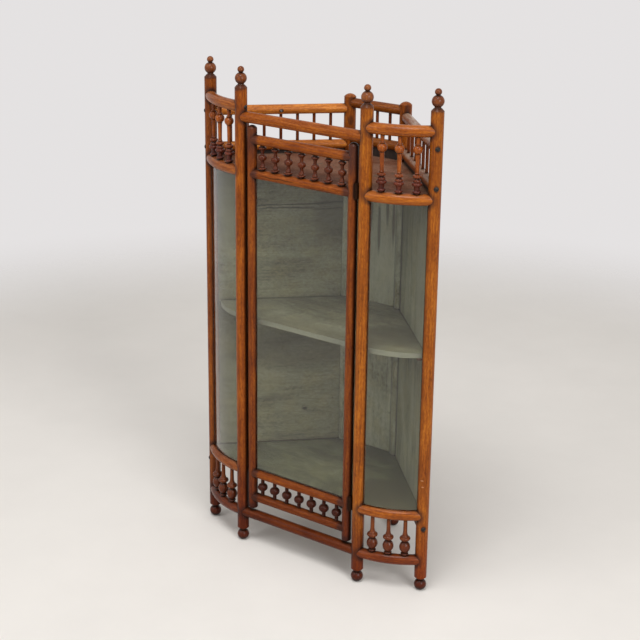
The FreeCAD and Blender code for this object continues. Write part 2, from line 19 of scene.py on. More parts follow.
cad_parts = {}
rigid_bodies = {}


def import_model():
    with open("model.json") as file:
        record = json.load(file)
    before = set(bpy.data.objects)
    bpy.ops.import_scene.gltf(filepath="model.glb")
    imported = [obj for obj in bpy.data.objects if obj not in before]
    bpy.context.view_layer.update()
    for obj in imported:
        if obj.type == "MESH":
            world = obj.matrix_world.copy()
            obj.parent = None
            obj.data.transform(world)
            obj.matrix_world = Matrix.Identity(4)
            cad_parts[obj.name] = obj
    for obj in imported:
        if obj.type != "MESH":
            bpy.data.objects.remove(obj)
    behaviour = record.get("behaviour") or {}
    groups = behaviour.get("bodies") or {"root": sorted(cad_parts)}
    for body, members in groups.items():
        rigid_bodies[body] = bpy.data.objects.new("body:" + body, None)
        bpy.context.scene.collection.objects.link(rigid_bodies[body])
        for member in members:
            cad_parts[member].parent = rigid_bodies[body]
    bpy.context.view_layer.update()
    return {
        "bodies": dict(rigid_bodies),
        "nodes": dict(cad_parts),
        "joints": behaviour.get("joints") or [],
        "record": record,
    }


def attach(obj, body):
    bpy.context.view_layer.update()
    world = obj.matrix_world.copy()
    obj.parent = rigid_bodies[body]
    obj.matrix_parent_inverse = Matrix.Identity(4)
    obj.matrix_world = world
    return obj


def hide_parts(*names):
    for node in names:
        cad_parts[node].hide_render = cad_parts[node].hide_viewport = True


Color = tuple[float, float, float]
Place = tuple[float, float, float]
Span = tuple[float, float]
Socket = bpy.types.NodeSocket
LOG = logging.getLogger("cabinet")
SEED_STEP = 0.618
SEED_SHIFTS = ((1.7, 9.1), (2.3, 7.7), (3.1, 5.3))


class Grain(Enum):
    """Way in which the grain of a piece runs."""

    UPRIGHT = "upright"
    ACROSS = "across"
    RIGHT_WALL = "along the right wall"
    LEFT_WALL = "along the left wall"
    RIGHT_BEND = "round the right bend"
    LEFT_BEND = "round the left bend"


class Side(Enum):
    """Side of the cabinet, seen from the front."""

    LEFT = -1
    RIGHT = 1

    @property
    def word(self) -> str:
        """The side as it stands in the names of pieces."""
        return self.name.lower()


@dataclass(frozen=True)
class Plan:
    """Sizes of the cabinet that several pieces share, in metres."""

    half_opening: float = 0.1346
    front: float = -0.113272
    bend_radius: float = 0.1535
    post_radius: float = 0.0111
    side_post: Span = (0.243141, -0.068313)
    back_post: Span = (0.061556, 0.113272)
    rail_heights: tuple[float, ...] = (0.8432, 0.7280, 0.1485, 0.0600)
    screw_heights: tuple[float, ...] = (0.8152, 0.7483, 0.1250)
    panel_half: float = 0.001

    @property
    def bend_centre(self) -> Span:
        """Middle of the right bend, in plan."""
        return self.half_opening, self.front + self.bend_radius

    @property
    def wall_way(self) -> float:
        """Sine and cosine of the walls' slope, which are alike."""
        return math.sqrt(0.5)

    @property
    def post_step(self) -> float:
        """Step across, and back, from a post's middle to its skin along a wall's slope."""
        return self.post_radius * self.wall_way


PLAN = Plan()


@dataclass(frozen=True)
class Pattern:
    """Soft noise, and how it is read.

    A draw under 1 stretches it along the grain. With low and high set, what is under low counts
    as least and what is over high as most.
    """

    scale: float
    detail: float = 2.0
    rough: float = 0.5
    warp: float = 0.0
    draw: float = 1.0
    low: Optional[float] = None
    high: float = 1.0
    least: float = 0.0
    most: float = 1.0


@dataclass(frozen=True)
class Corner:
    """Dirt and painted shade in corners: reach, where it starts and is full, and its share."""

    reach: float
    low: float
    high: float
    share: float
    samples: int = 6
    uneven: float = 0.0


@dataclass(frozen=True)
class Mark:
    """Stain or scratch at one place of a piece, in the cabinet's own frame."""

    place: Place
    reach: Place
    color: Color
    strength: float = 0.8
    wander: float = 0.0
    core: float = 0.5
    sway: Pattern = Pattern(34.0, 3.0)


Marks = tuple[Mark, ...]


def spread(places: Iterable[Place], *rest: Any) -> Marks:
    """Marks at several places, alike in their reach, colour, strength and wander."""
    return tuple(Mark(place, *rest) for place in places)


def dimmed(color: Color, share: float) -> Color:
    """A colour at a share of its light."""
    return tuple(share * part for part in color)


class Shade:
    """Nodes of one material or of the world, with short ways to add and join them."""

    def __init__(self, owner: bpy.types.ID, grain: Optional[Grain] = None,
                 seed: float = 0.0) -> None:
        """Clears the nodes and adds the coordinates.

        Args:
            owner: Material or world that gets the nodes.
            grain: Way of the grain, or None where no coordinates are wanted.
            seed: Moves the patterns, so that no two pieces share them.
        """
        owner.use_nodes = True
        self.tree = owner.node_tree
        self.tree.nodes.clear()
        self.seed = seed
        if grain is not None:
            self.place = self.node("TexCoord").outputs["Object"]
            self.coords = self._along(grain)

    def node(self, kind: str, *values: Any, inputs: Optional[dict[Any, Any]] = None,
             **settings: Any) -> bpy.types.Node:
        """Adds a node.

        Args:
            kind: Type of the node, without the word Shader in front.
            *values: Sockets, numbers, vectors or colours for its first inputs.
            inputs: The same for other inputs, by their name or number. None leaves one alone.
            **settings: Properties of the node to set.

        Returns:
            The new node.
        """
        made = self.tree.nodes.new("ShaderNode" + kind)
        for name, value in settings.items():
            setattr(made, name, value)
        for key, value in (*enumerate(values), *(inputs or {}).items()):
            socket = made.inputs[key]
            if isinstance(value, bpy.types.NodeSocket):
                self.tree.links.new(value, socket)
            elif value is not None:
                if socket.type == "RGBA" and len(value) == 3:
                    value = (*value, 1.0)
                socket.default_value = value
        return made

    def out(self, kind: str, *values: Any, **settings: Any) -> Socket:
        """First output of a new node, made as node() makes it."""
        return self.node(kind, *values, **settings).outputs[0]

    def maths(self, operation: str, *values: Any) -> Socket:
        """Sum, product or other operation on one to three numbers or sockets."""
        return self.out("Math", *values, operation=operation)

    def vector(self, operation: str, *values: Any) -> Socket:
        """Operation on vectors or sockets that gives a vector."""
        return self.out("VectorMath", *values, operation=operation)

    def number(self, operation: str, *values: Any) -> Socket:
        """Operation on vectors or sockets that gives a number."""
        return self.node("VectorMath", *values, operation=operation).outputs["Value"]

    def split(self, vector: Socket) -> Sequence[Socket]:
        """The three parts of a vector."""
        return tuple(self.node("SeparateXYZ", vector).outputs)

    def combine(self, x: Any, y: Any, z: Any) -> Socket:
        """A vector from its three parts."""
        return self.out("CombineXYZ", x, y, z)

    def up(self) -> Socket:
        """How far the surface faces up, from -1 to 1."""
        return self.split(self.node("NewGeometry").outputs["Normal"])[2]

    def weigh(self, start: Any, *parts: tuple[Socket, float]) -> Socket:
        """Weighted sum.

        Args:
            start: Number or socket that the sum starts from.
            *parts: Values and their weights.

        Returns:
            Socket of the sum.
        """
        for value, weight in parts:
            start = self.maths("MULTIPLY_ADD", value, weight, start)
        return start

    def remap(self, value: Any, low: float, high: float, to_low: float = 0.0,
              to_high: float = 1.0, smooth: bool = False) -> Socket:
        """A value whose range is stretched to another and clamped, or eased where smooth."""
        return self.out("MapRange", value, low, high, to_low, to_high,
                        interpolation_type="SMOOTHSTEP" if smooth else "LINEAR")

    def noise(self, pattern: Pattern, coords: Optional[Socket] = None) -> Socket:
        """Soft noise.

        Args:
            pattern: Its kind.
            coords: Where to read it, or None for the coordinates along the grain.

        Returns:
            Socket of its value.
        """
        coords = self.coords if coords is None else coords
        if pattern.draw != 1.0:
            coords = self.vector("MULTIPLY", coords, (1.0, 1.0, pattern.draw))
        value = self.out("TexNoise", noise_dimensions="3D", inputs={
            "Vector": coords, "Scale": pattern.scale, "Detail": pattern.detail,
            "Roughness": pattern.rough, "Distortion": pattern.warp})
        if pattern.low is not None:
            value = self.remap(value, pattern.low, pattern.high, pattern.least, pattern.most)
        return value

    def ramp(self, value: Socket, stops: Sequence[float], *colors: Color) -> Socket:
        """Colours along a value.

        Args:
            value: Socket between 0 and 1.
            stops: Places of the colours, in order.
            *colors: The colours.

        Returns:
            Socket of the colour.
        """
        made = self.node("ValToRGB", value)
        elements = made.color_ramp.elements
        while len(elements) < len(stops):
            elements.new(0.5)
        for element, where, color in zip(elements, stops, colors):
            element.position = where
            element.color = (*color, 1.0)
        return made.outputs[0]

    def blend(self, factor: Any, first: Any, second: Any, mode: str = "MIX") -> Socket:
        """Two colours mixed, with the factor as the second one's share or the mode's strength."""
        made = self.node("Mix", data_type="RGBA", blend_type=mode,
                         inputs={0: factor, 6: first, 7: second})
        return made.outputs[2]

    def tinted(self, color: Any, tint: Any) -> Socket:
        """A colour multiplied by another."""
        return self.blend(1.0, color, tint, "MULTIPLY")

    def lay(self, color: Socket, over: Color, mask: Socket, share: float) -> Socket:
        """A colour with a share of another laid over it, where the mask is 1."""
        return self.blend(self.maths("MULTIPLY", mask, share), color, over)

    def dirt_and_shade(self, corner: Corner, uneven: Optional[Socket] = None) -> Socket:
        """Share of dirt and painted shade at a point, by how shut in it is.

        Args:
            corner: Kind of corner.
            uneven: Noise that spreads the darkening unevenly.

        Returns:
            Socket of the share.
        """
        # painted shade, with dirt: darker where neighbours shut the point in
        seen = self.node("AmbientOcclusion", samples=corner.samples,
                         inputs={"Distance": corner.reach})
        shut = self.maths("SUBTRACT", 1.0, seen.outputs["AO"])
        if uneven is not None:
            shut = self.weigh(shut, (uneven, corner.uneven))
        shut = self.remap(shut, corner.low, corner.high, smooth=True)
        return self.maths("MULTIPLY", shut, corner.share)

    def marked(self, color: Socket, marks: Marks) -> Socket:
        """Lays stains and scratches over a colour.

        Args:
            color: Colour without them.
            marks: The stains and scratches, in order.

        Returns:
            Socket of the colour.
        """
        for mark in marks:
            offset = self.vector("SUBTRACT", self.place, mark.place)
            if mark.wander:
                sway = self.maths("SUBTRACT", self.noise(mark.sway, self.place), 0.5)
                sway = self.maths("MULTIPLY", sway, mark.wander)
                offset = self.vector("ADD", offset, self.combine(0.0, 0.0, sway))
            far = self.number("LENGTH", self.vector("DIVIDE", offset, mark.reach))
            inside = self.remap(far, mark.core, 1.0, mark.strength, 0.0, smooth=True)
            color = self.blend(inside, color, mark.color)
        return color

    def bump(self, height: Socket, depth: float, after: Optional[Socket] = None) -> Socket:
        """Normal of a small relief, as deep as said in metres, added to another normal."""
        return self.out("Bump", inputs={"Strength": 1.0, "Distance": depth, "Height": height,
                                        "Normal": after})

    def _along(self, grain: Grain) -> Socket:
        """Coordinates whose Z runs along the grain, in metres.

        Args:
            grain: Way of the grain.

        Returns:
            Socket of the vector.
        """
        spot = self.place
        if grain is not Grain.UPRIGHT:
            x, y, z = self.split(spot)
            if grain in (Grain.LEFT_WALL, Grain.LEFT_BEND):
                x = self.maths("MULTIPLY", x, -1.0)
            if grain is Grain.ACROSS:
                spot = self.combine(y, z, x)
            elif grain in (Grain.LEFT_WALL, Grain.RIGHT_WALL):
                over, run = self.maths("ADD", x, y), self.maths("SUBTRACT", y, x)
                spot = self.combine(self.maths("MULTIPLY", over, PLAN.wall_way), z,
                                    self.maths("MULTIPLY", run, PLAN.wall_way))
            else:
                dx = self.maths("SUBTRACT", x, PLAN.bend_centre[0])
                dy = self.maths("SUBTRACT", PLAN.bend_centre[1], y)
                turn = self.maths("ARCTAN2", dx, dy)
                far = self.number("LENGTH", self.combine(dx, dy, 0.0))
                spot = self.combine(far, z, self.maths("MULTIPLY", turn, PLAN.bend_radius))
        return self.vector("ADD", spot, tuple(pace * self.seed % span
                                              for pace, span in SEED_SHIFTS))


@dataclass(frozen=True)
class Finish:
    """Kind of surface that a piece can have. Each kind gives the nodes in its shader()."""

    def make(self, name: str, grain: Grain, seed: float, **options: Any) -> bpy.types.Material:
        """Builds a material for one piece.

        Args:
            name: Name of the material.
            grain: Way of the grain, of the brush marks or of the waves.
            seed: Moves the patterns.
            **options: What the finish can have on one piece and not on another.

        Returns:
            The material.
        """
        material = bpy.data.materials.new(name)
        shade = Shade(material, grain, seed)
        shade.node("OutputMaterial", self.shader(shade, **options))
        return material


@dataclass(frozen=True)
class PaintFinish(Finish):
    """Flat grey-green paint on boards, brushed, scuffed and streaked, over dull bare wood."""

    paint: Color = (0.172, 0.166, 0.110)
    pale: Color = (0.265, 0.262, 0.195)
    smudge_and_shade: Color = (0.062, 0.055, 0.034)
    seam_grime_and_shade: Color = (0.014, 0.008, 0.004)
    wood: Color = (0.042, 0.029, 0.023)
    bare: Color = (0.130, 0.072, 0.036)
    worn: Color = (0.105, 0.088, 0.052)
    warm: Color = (1.02, 0.97, 0.84)
    edge_scuff_and_highlight: Optional[Color] = None
    cloud_share: float = 0.62
    brush_share: float = 0.30
    mottle_share: float = 0.50
    streak_share: float = 0.15
    scuff_share: float = 0.35
    edge_share: float = 0.8
    worn_share: float = 0.0
    level: float = 0.145
    stops: tuple[float, ...] = (0.36, 0.52, 0.70)
    painted_below: float = 10.0
    cloud: Pattern = Pattern(17.0, 4.0, 0.6, 0.6, 0.35)
    brush: Pattern = Pattern(420.0, 3.0, 0.6, draw=0.03)
    streak: Pattern = Pattern(70.0, 3.0, 0.6, draw=0.06)
    mottle: Pattern = Pattern(280.0, 4.0, 0.65, draw=0.6)
    scuffs: Pattern = Pattern(95.0, 4.0, 0.65, low=0.58, high=0.74)
    specks: Pattern = Pattern(170.0, 2.0, 0.5, low=0.68, high=0.74, most=0.55)
    tone: Pattern = Pattern(27.0, 3.0, 0.6, low=0.42, high=0.64)
    rubbing: Pattern = Pattern(32.0, 5.0, 0.65, 0.5, low=0.36, high=0.58)
    edge_below: float = 0.5
    rubbed_up: Span = (0.4, 0.9)
    broad: Corner = Corner(0.07, 0.25, 0.8, 0.42, 5)
    tight: Corner = Corner(0.0042, 0.16, 0.5, 0.95)
    wood_grain: Pattern = Pattern(190.0, 4.0, 0.65, draw=0.05)
    wood_stops: Span = (0.3, 0.7)
    wood_dark: float = 0.45
    roughness: float = 0.46
    rough_cloud: float = 0.2
    specular: float = 0.3
    brush_depth: float = 0.00006

    def shader(self, shade: Shade, bare_from: Optional[float] = None, square_back: bool = False,
               marks: Marks = ()) -> Socket:
        """Paint, with dull wood above it and on the side that faces the room's walls.

        Args:
            shade: Material being made.
            bare_from: How far out from the middle of the cabinet the bare back of a panel
                starts, or None where all of it is painted.
            square_back: Whether that distance runs straight back and not along a wall's
                outward way.
            marks: Stains on the paint.

        Returns:
            Socket of the shader.
        """
        cloud, brush = shade.noise(self.cloud), shade.noise(self.brush)
        color = shade.marked(self.coat(shade, cloud, brush), marks)
        x, y, z = shade.split(shade.place)
        out = y if square_back else shade.maths(
            "MULTIPLY", shade.maths("ADD", shade.maths("ABSOLUTE", x), y), PLAN.wall_way)
        grain = shade.noise(self.wood_grain)
        for far, limit, wood in ((z, self.painted_below, self.wood), (out, bare_from, self.bare)):
            if limit is not None:
                bare = shade.ramp(grain, self.wood_stops, dimmed(wood, self.wood_dark), wood)
                color = shade.blend(shade.maths("GREATER_THAN", far, limit), color, bare)
        return shade.out("BsdfPrincipled", inputs={
            "Base Color": color, "Normal": shade.bump(brush, self.brush_depth),
            "Roughness": shade.weigh(self.roughness, (cloud, self.rough_cloud)),
            "Specular IOR Level": self.specular})

    def coat(self, shade: Shade, cloud: Socket, brush: Socket) -> Socket:
        """The paint itself, with grime and painted shade in the corners.

        Args:
            shade: Material being made.
            cloud: Broad uneven noise.
            brush: Fine noise drawn out along the brush marks.

        Returns:
            Socket of the colour.
        """
        value = shade.weigh(self.level - 0.5 * (self.streak_share + self.cloud_share),
                            (cloud, self.cloud_share), (brush, self.brush_share),
                            (shade.noise(self.mottle), self.mottle_share),
                            (shade.noise(self.streak), self.streak_share))
        color = shade.ramp(value, self.stops, self.smudge_and_shade, self.paint, self.pale)
        color = shade.blend(shade.noise(self.tone), color, shade.tinted(color, self.warm))
        color = shade.lay(color, self.smudge_and_shade, shade.noise(self.scuffs), self.scuff_share)
        color = shade.blend(shade.noise(self.specks), color, self.smudge_and_shade)
        # pale sideways faces: paint scuffed on the edges, and a painted highlight
        if self.edge_scuff_and_highlight is not None:
            slope = shade.maths("ABSOLUTE", shade.up())
            sideways = shade.maths("LESS_THAN", slope, self.edge_below)
            color = shade.lay(color, self.edge_scuff_and_highlight, sideways, self.edge_share)
        if self.worn_share:
            rubbed = shade.maths("MULTIPLY", shade.noise(self.rubbing),
                                 shade.remap(shade.up(), *self.rubbed_up))
            color = shade.lay(color, self.worn, rubbed, self.worn_share)
        # grime and painted shade: darker where corners shut the paint in, broadly and in tight
        # seams
        color = shade.blend(shade.dirt_and_shade(self.broad), color, self.smudge_and_shade)
        return shade.blend(shade.dirt_and_shade(self.tight), color, self.seam_grime_and_shade)


@dataclass(frozen=True)
class Coating:
    """Paint that covers only the face of a post that looks into the cupboard."""

    paint: PaintFinish
    bottom: float = 0.150
    top: float = 0.728

    def mask(self, shade: Shade) -> Socket:
        """Marks the painted part.

        Args:
            shade: Material being made.

        Returns:
            1 on the painted part and 0 elsewhere.
        """
        x, y, z = shade.split(shade.place)
        out = shade.maths("ADD", shade.maths("ABSOLUTE", x), y)
        inside = shade.maths("LESS_THAN", out, sum(PLAN.side_post))
        for test, value, limit in (("LESS_THAN", y, PLAN.back_post[1]),
                                   ("GREATER_THAN", z, self.bottom), ("LESS_THAN", z, self.top)):
            inside = shade.maths("MULTIPLY", inside, shade.maths(test, value, limit))
        return inside


@dataclass(frozen=True)
class OakFinish(Finish):
    """Old varnished oak: mottled grain, dark pores, grime and painted shade in joints, dust on
    top.
    """

    light: Color = (0.56, 0.185, 0.014)
    middle: Color = (0.310, 0.080, 0.006)
    dark: Color = (0.100, 0.021, 0.003)
    grime_and_shade: Color = (0.018, 0.0065, 0.003)
    dusty: Color = (0.36, 0.25, 0.18)
    stain: Color = (1.0, 1.0, 1.0)
    low_tint: Color = (0.38, 0.21, 0.24)
    worn_stain_and_shade: Color = (0.26, 0.14, 0.11)
    low_start: float = 0.03
    low_end: float = 0.18
    roughness: float = 0.34
    varnish: float = 0.12
    dust_share: float = 0.05
    level: float = -0.35
    ring_share: float = 0.12
    streak_share: float = 0.46
    fleck_share: float = 0.52
    patch_share: float = 0.66
    pore_share: float = 0.5
    stops: tuple[float, ...] = (0.16, 0.50, 0.84)
    patch: Pattern = Pattern(34.0, 3.0, 0.55, draw=0.45)
    streak: Pattern = Pattern(320.0, 3.0, 0.6, 0.3, 0.12)
    fleck: Pattern = Pattern(560.0, 2.0, 0.6, draw=0.3)
    pores: Pattern = Pattern(1300.0, 1.0, 0.5, draw=0.10, low=0.58, high=0.68)
    ring_bend: Pattern = Pattern(60.0, 3.0, 0.6, draw=0.13)
    ring_count: float = 1300.0
    ring_wave: float = 22.0
    ring_turn: float = 1.9
    dust_streak: float = 0.5
    dust_drift: Span = (0.60, 0.84)
    dust_up: Span = (0.30, 0.85)
    broad: Corner = Corner(0.024, 0.24, 0.74, 0.7, 5, 0.25)
    tight: Corner = Corner(0.0085, 0.08, 0.32, 0.90)
    rough_patch: float = 0.28
    rough_pores: float = 0.12
    specular: float = 0.10
    varnish_rough: float = 0.2
    streak_depth: float = 0.00018
    pore_depth: float = 0.00006

    def shader(self, shade: Shade, marks: Marks = (),
               coating: Optional[Coating] = None) -> Socket:
        """Wood with its dust, marks, wear and painted shade, and paint over part of it.

        Args:
            shade: Material being made.
            marks: Stains and scratches.
            coating: Paint over part of the piece.

        Returns:
            Socket of the shader.
        """
        patch, streak = shade.noise(self.patch), shade.noise(self.streak)
        pores = shade.noise(self.pores)
        value = shade.weigh(self.level, (self._rings(shade), self.ring_share),
                            (streak, self.streak_share),
                            (shade.noise(self.fleck), self.fleck_share),
                            (patch, self.patch_share))
        color = shade.ramp(value, self.stops, self.dark, self.middle, self.light)
        color = shade.tinted(shade.lay(color, self.dark, pores, self.pore_share), self.stain)
        drift = shade.remap(shade.weigh(patch, (streak, self.dust_streak)), *self.dust_drift)
        lying = shade.maths("MULTIPLY", shade.remap(shade.up(), *self.dust_up), drift)
        color = shade.lay(color, self.dusty, lying, self.dust_share)
        color = self._wear_and_shade(shade, shade.marked(color, marks), patch)
        if coating is not None:
            color = shade.blend(coating.mask(shade), color,
                                coating.paint.coat(shade, patch, streak))
        relief = shade.bump(streak, self.streak_depth)
        relief = shade.bump(shade.maths("SUBTRACT", 1.0, pores), self.pore_depth, relief)
        rough = shade.weigh(self.roughness - 0.5 * self.rough_patch, (patch, self.rough_patch),
                            (pores, self.rough_pores))
        return shade.out("BsdfPrincipled", inputs={
            "Base Color": color, "Normal": relief, "Roughness": rough,
            "Specular IOR Level": self.specular, "Coat Weight": self.varnish,
            "Coat Roughness": self.varnish_rough})

    def _rings(self, shade: Shade) -> Socket:
        """Growth rings, wavy and uneven, cut nearly flat across the stick.

        Args:
            shade: Material being made.

        Returns:
            Value between 0 and 1.
        """
        turn = self.ring_turn * shade.seed
        flat = shade.number("DOT_PRODUCT", shade.coords, (math.cos(turn), math.sin(turn), 0.0))
        phase = shade.maths("MULTIPLY", flat, self.ring_count)
        phase = shade.weigh(phase, (shade.noise(self.ring_bend), self.ring_wave))
        return shade.weigh(0.5, (shade.maths("SINE", phase), 0.5))

    def _wear_and_shade(self, shade: Shade, color: Socket, patch: Socket) -> Socket:
        """Darkens the wood low down, and in the joints with grime and painted shade.

        Args:
            shade: Material being made.
            color: Clean wood.
            patch: Broad uneven noise.

        Returns:
            Wood darker low down, with grime and painted shade in the joints.
        """
        # darker towards the bottom, from low_start up to low_end
        low = shade.remap(shade.split(shade.place)[2], self.low_start, self.low_end, 1.0, 0.0,
                          smooth=True)
        # grime and painted shade: darker where the wood is shut in, broadly and in tight joints
        broad = shade.dirt_and_shade(self.broad, patch)
        for mask, tint in ((low, self.low_tint), (broad, self.worn_stain_and_shade)):
            color = shade.blend(mask, color, shade.tinted(color, tint))
        return shade.blend(shade.dirt_and_shade(self.tight), color, self.grime_and_shade)


@dataclass(frozen=True)
class DustyFinish(Finish):
    """Stained board that holds years of dust, with dark spots, rubbed streaks and painted corner
    shade.
    """

    stain: Color = (0.115, 0.038, 0.019)
    worn: Color = (0.190, 0.078, 0.043)
    spot: Color = (0.030, 0.026, 0.016)
    moss: Color = (0.085, 0.088, 0.062)
    dust: Color = (0.30, 0.185, 0.130)
    stops: Span = (0.36, 0.64)
    dust_up: Span = (0.5, 1.0)
    dust_cloud: Span = (0.35, 0.7)
    dust_share: float = 0.45
    spot_share: float = 0.45
    moss_share: float = 0.55
    streaks: Pattern = Pattern(260.0, 4.0, 0.6, draw=0.05)
    cloud: Pattern = Pattern(26.0, 5.0, 0.65, 0.4)
    spots: Pattern = Pattern(120.0, 3.0, 0.6, low=0.60, high=0.72)
    mossy: Pattern = Pattern(64.0, 5.0, 0.7, 0.3, low=0.56, high=0.66)
    speckle: Pattern = Pattern(520.0, 3.0, 0.7, low=0.34, high=0.66, least=0.66, most=1.42)
    corner: Corner = Corner(0.02, 0.3, 0.85, 0.7)
    roughness: float = 0.55
    rough_cloud: float = 0.25
    specular: float = 0.08
    depth: float = 0.00025

    def shader(self, shade: Shade) -> Socket:
        """Stained wood under dust, spots and specks, with painted shade in the corners.

        Args:
            shade: Material being made.

        Returns:
            Socket of the shader.
        """
        streaks, cloud = shade.noise(self.streaks), shade.noise(self.cloud)
        value = shade.weigh(0.0, (cloud, 0.5), (streaks, 0.5))
        color = shade.ramp(value, self.stops, self.stain, self.worn)
        lying = shade.maths("MULTIPLY", shade.remap(shade.up(), *self.dust_up),
                            shade.remap(cloud, *self.dust_cloud))
        for over, mask, share in ((self.dust, lying, self.dust_share),
                                  (self.spot, shade.noise(self.spots), self.spot_share),
                                  (self.moss, shade.noise(self.mossy), self.moss_share)):
            color = shade.lay(color, over, mask, share)
        speckle = shade.noise(self.speckle)
        color = shade.tinted(color, shade.combine(speckle, speckle, speckle))
        # the spot colour also darkens the corners: painted shade, with dirt
        return shade.out("BsdfPrincipled", inputs={
            "Base Color": shade.blend(shade.dirt_and_shade(self.corner), color, self.spot),
            "Normal": shade.bump(streaks, self.depth), "Specular IOR Level": self.specular,
            "Roughness": shade.weigh(self.roughness, (cloud, self.rough_cloud))})


@dataclass(frozen=True)
class GlassFinish(Finish):
    """Old clear pane, a little wavy, that lets the light of the lamps through."""

    tint: Color = (0.93, 0.95, 0.92)
    waves: Pattern = Pattern(26.0, 1.0, 0.4, draw=0.35)
    depth: float = 0.0004
    roughness: float = 0.03
    bending: float = 1.38

    def shader(self, shade: Shade) -> Socket:
        """Glass for the eye, and a clear sheet for the shadows.

        Args:
            shade: Material being made.

        Returns:
            Socket of the shader.
        """
        relief = shade.bump(shade.noise(self.waves), self.depth)
        pane = shade.out("BsdfPrincipled", inputs={
            "Base Color": self.tint, "Roughness": self.roughness, "IOR": self.bending,
            "Transmission Weight": 1.0, "Normal": relief})
        shadow = shade.node("LightPath").outputs["Is Shadow Ray"]
        return shade.out("MixShader", shadow, pane, shade.out("BsdfTransparent", self.tint))


@dataclass(frozen=True)
class MetalFinish(Finish):
    """Old metal with a dull skin and some bright rubbed places."""

    skin: Color
    bright: Color
    roughness: float = 0.45
    metal: float = 1.0
    specular: float = 0.5
    stops: Span = (0.42, 0.75)
    cloud: Pattern = Pattern(320.0, 4.0, 0.65)
    pits: Pattern = Pattern(1600.0, 2.0, 0.5)
    rough_cloud: float = 0.3
    depth: float = 0.00005

    def shader(self, shade: Shade) -> Socket:
        """Metal with small pits.

        Args:
            shade: Material being made.

        Returns:
            Socket of the shader.
        """
        cloud = shade.noise(self.cloud)
        rough = shade.weigh(self.roughness - 0.5 * self.rough_cloud, (cloud, self.rough_cloud))
        return shade.out("BsdfPrincipled", inputs={
            "Base Color": shade.ramp(cloud, self.stops, self.skin, self.bright),
            "Metallic": self.metal, "Roughness": rough, "Specular IOR Level": self.specular,
            "Normal": shade.bump(shade.noise(self.pits), self.depth)})


DUSTY = DustyFinish()
GLASS = GlassFinish()
IRON = MetalFinish((0.010, 0.007, 0.006), (0.050, 0.042, 0.038), 0.5, 0.3, 0.3)
BRASS = MetalFinish((0.014, 0.005, 0.002), (0.034, 0.013, 0.005), 0.65, 0.0, 0.05)
STEEL = MetalFinish((0.10, 0.095, 0.09), (0.42, 0.40, 0.38), 0.35)


class Cabinet:
    """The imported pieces, and the way a finish is put on them."""

    def __init__(self, frame: dict[str, Any]) -> None:
        self.pieces: dict[str, bpy.types.Object] = dict(frame["nodes"])
        self.count = 0

    def add(self, name: str, mesh: bpy.types.Mesh, body: str, slot: str) -> bpy.types.Object:
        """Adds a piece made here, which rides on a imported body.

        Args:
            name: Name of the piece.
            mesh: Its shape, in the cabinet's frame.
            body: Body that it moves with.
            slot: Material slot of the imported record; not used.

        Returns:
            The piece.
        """
        piece = bpy.data.objects.new(name, mesh)
        bpy.context.scene.collection.objects.link(piece)
        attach(piece, body)
        mesh.materials.append(None)  # an empty place for the material that dress() gives
        self.pieces[name] = piece
        LOG.info("%s: built, rides on %s", name, body)
        return piece

    def dress(self, name: str, finish: Finish, grain: Grain = Grain.UPRIGHT,
              **options: Any) -> None:
        """Finishes one piece with a material of its own.

        Args:
            name: Name of the piece.
            finish: Finish that makes the material.
            grain: Way of its grain.
            **options: Further arguments of the finish.
        """
        self.count += 1
        material = finish.make(name + "_finish", grain, 1.0 + SEED_STEP * self.count, **options)
        for slot in self.pieces[name].material_slots:
            slot.material = material
        LOG.info("%s: %s, grain %s", name, type(finish).__name__, grain.value)


@dataclass
class Assembly:
    """Pieces of the cabinet that are built and dressed together."""

    cabinet: Cabinet


